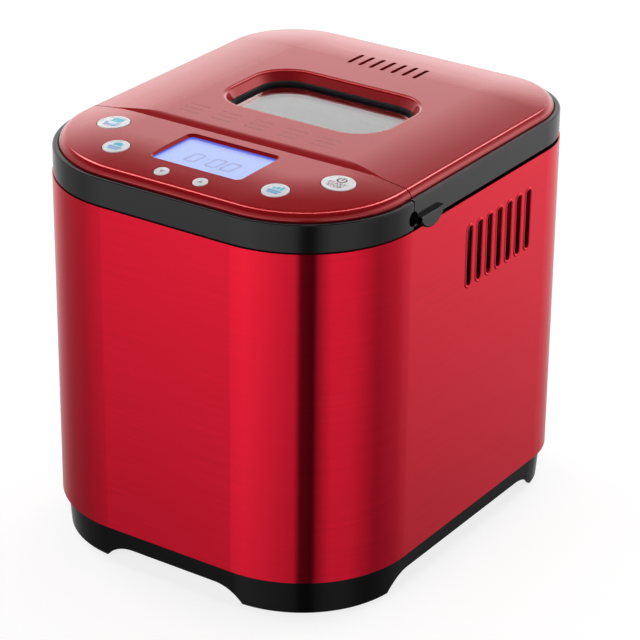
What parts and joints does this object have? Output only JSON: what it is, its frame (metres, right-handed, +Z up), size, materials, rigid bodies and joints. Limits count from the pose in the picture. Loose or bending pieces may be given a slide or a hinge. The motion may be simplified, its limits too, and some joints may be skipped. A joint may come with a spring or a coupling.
{
  "type": "bread machine",
  "caption": "Free-standing bread machine: hinged windowed lid, front control panel, lift-out kneading pan and belt-driven paddle in a wrapped metal housing.",
  "frame": {"origin": "on the table, under the middle of the body", "axes": "+Z up, -Y towards the user, +X to the user's right"},
  "size_m": [0.2686, 0.3064, 0.2868],
  "materials": {
    "red_metal": "brushed metallic lacquer",
    "red_gloss": "gloss moulding",
    "black_plastic": "satin moulding",
    "black_rubber": "matt",
    "clear_glass": "polished",
    "display_lens": "polished",
    "display": "backlit",
    "silver_button": "silver lacquer",
    "blue_button": "satin",
    "steel_plate": "galvanised",
    "heater_steel": "oxidised",
    "ceramic": "glazed",
    "cast_metal": "as cast",
    "bronze": "sintered",
    "pulley_plastic": "moulded",
    "belt_rubber": "matt",
    "circuit_board": "solder mask",
    "transformer": "varnished",
    "nonstick": "non-stick coating"
  },
  "bodies": {
    "machine": {"housing_sleeve": "red_metal", "base_tray": "black_plastic", "cord_gland": "black_plastic", "rubber_feet": "black_rubber", "chassis_plate": "steel_plate", "chassis_screws": "steel_plate", "top_frame": "black_plastic", "hinge_pins": "steel_plate", "control_panel": "red_gloss", "lcd_lens": "display_lens", "lcd_module": "display", "control_board": "circuit_board", "board_screws": "steel_plate", "tact_switches": "pulley_plastic", "baking_chamber": "steel_plate", "chamber_spacers": "steel_plate", "heating_element": "heater_steel", "element_terminals": "ceramic", "element_clips": "steel_plate", "temperature_probe": "steel_plate", "pan_seat": "steel_plate", "bearing_housing": "cast_metal", "shaft_bushes": "bronze", "drive_belt": "belt_rubber", "motor_stator": "steel_plate", "motor_windings": "bronze", "motor_end_bells": "cast_metal", "motor_capacitor": "black_plastic", "heat_shield": "steel_plate", "power_board": "circuit_board", "power_transformer": "transformer"},
    "lid": {"lid_cover": "red_gloss", "window_gasket": "black_rubber", "lid_glass": "clear_glass", "lid_frame": "black_plastic", "lid_liner": "cast_metal", "lid_screws": "steel_plate"},
    "drive": {"drive_shaft": "steel_plate", "drive_pulley": "pulley_plastic", "pulley_nut": "steel_plate", "drive_coupling": "cast_metal"},
    "motor": {"motor_rotor": "steel_plate", "motor_shaft": "steel_plate", "cooling_fan": "black_plastic", "motor_pulley": "pulley_plastic"},
    "pan": {"bread_pan": "nonstick", "pan_base": "cast_metal", "spindle_bush": "bronze", "handle_ears": "steel_plate"},
    "paddle": {"pan_spindle": "steel_plate", "pan_coupling": "cast_metal", "kneading_paddle": "nonstick"},
    "handle": {"pan_handle": "steel_plate"},
    "menu": {"menu_button": "silver_button"},
    "start_stop": {"start_stop_button": "silver_button"},
    "loaf": {"loaf_button": "blue_button"},
    "crust": {"crust_button": "blue_button"},
    "time_down": {"time_down_button": "silver_button"},
    "time_up": {"time_up_button": "silver_button"}
  },
  "joints": [
    {"name": "lid_hinge", "type": "hinge", "parent": "machine", "child": "lid", "pos_m": [0, 0.14375, 0.2676], "axis": [-1, 0, 0], "range_deg": [0, 92]},
    {"name": "drive_turn", "type": "hinge", "parent": "machine", "child": "drive", "pos_m": [0, 0.036, 0.045], "axis": [0, 0, 1], "continuous": true},
    {"name": "motor_turn", "type": "hinge", "parent": "machine", "child": "motor", "pos_m": [0.03, -0.10575, 0.07], "axis": [0, 0, 1], "continuous": true},
    {"name": "pan_lift", "type": "slide", "parent": "machine", "child": "pan", "axis": [0, 0, 1], "range_m": [0, 0.01]},
    {"name": "paddle_turn", "type": "hinge", "parent": "pan", "child": "paddle", "pos_m": [0, 0.036, 0.09], "axis": [0, 0, 1], "continuous": true},
    {"name": "handle_swing", "type": "hinge", "parent": "pan", "child": "handle", "pos_m": [0, 0.036, 0.19], "axis": [1, 0, 0], "range_deg": [0, 40]},
    {"name": "menu_press", "type": "slide", "parent": "machine", "child": "menu", "axis": [0, 0, -1], "range_m": [0, 0.001], "stiffness_N_per_m": 600},
    {"name": "start_stop_press", "type": "slide", "parent": "machine", "child": "start_stop", "axis": [0, 0, -1], "range_m": [0, 0.001], "stiffness_N_per_m": 600},
    {"name": "loaf_press", "type": "slide", "parent": "machine", "child": "loaf", "axis": [0, 0, -1], "range_m": [0, 0.001], "stiffness_N_per_m": 600},
    {"name": "crust_press", "type": "slide", "parent": "machine", "child": "crust", "axis": [0, 0, -1], "range_m": [0, 0.001], "stiffness_N_per_m": 600},
    {"name": "time_down_press", "type": "slide", "parent": "machine", "child": "time_down", "axis": [0, 0, -1], "range_m": [0, 0.001], "stiffness_N_per_m": 600},
    {"name": "time_up_press", "type": "slide", "parent": "machine", "child": "time_up", "axis": [0, 0, -1], "range_m": [0, 0.001], "stiffness_N_per_m": 600}
  ],
  "couplings": [
    {"joint": "motor_turn", "follows": "drive_turn", "ratio": 5.5},
    {"joint": "paddle_turn", "follows": "drive_turn", "ratio": 1}
  ]
}
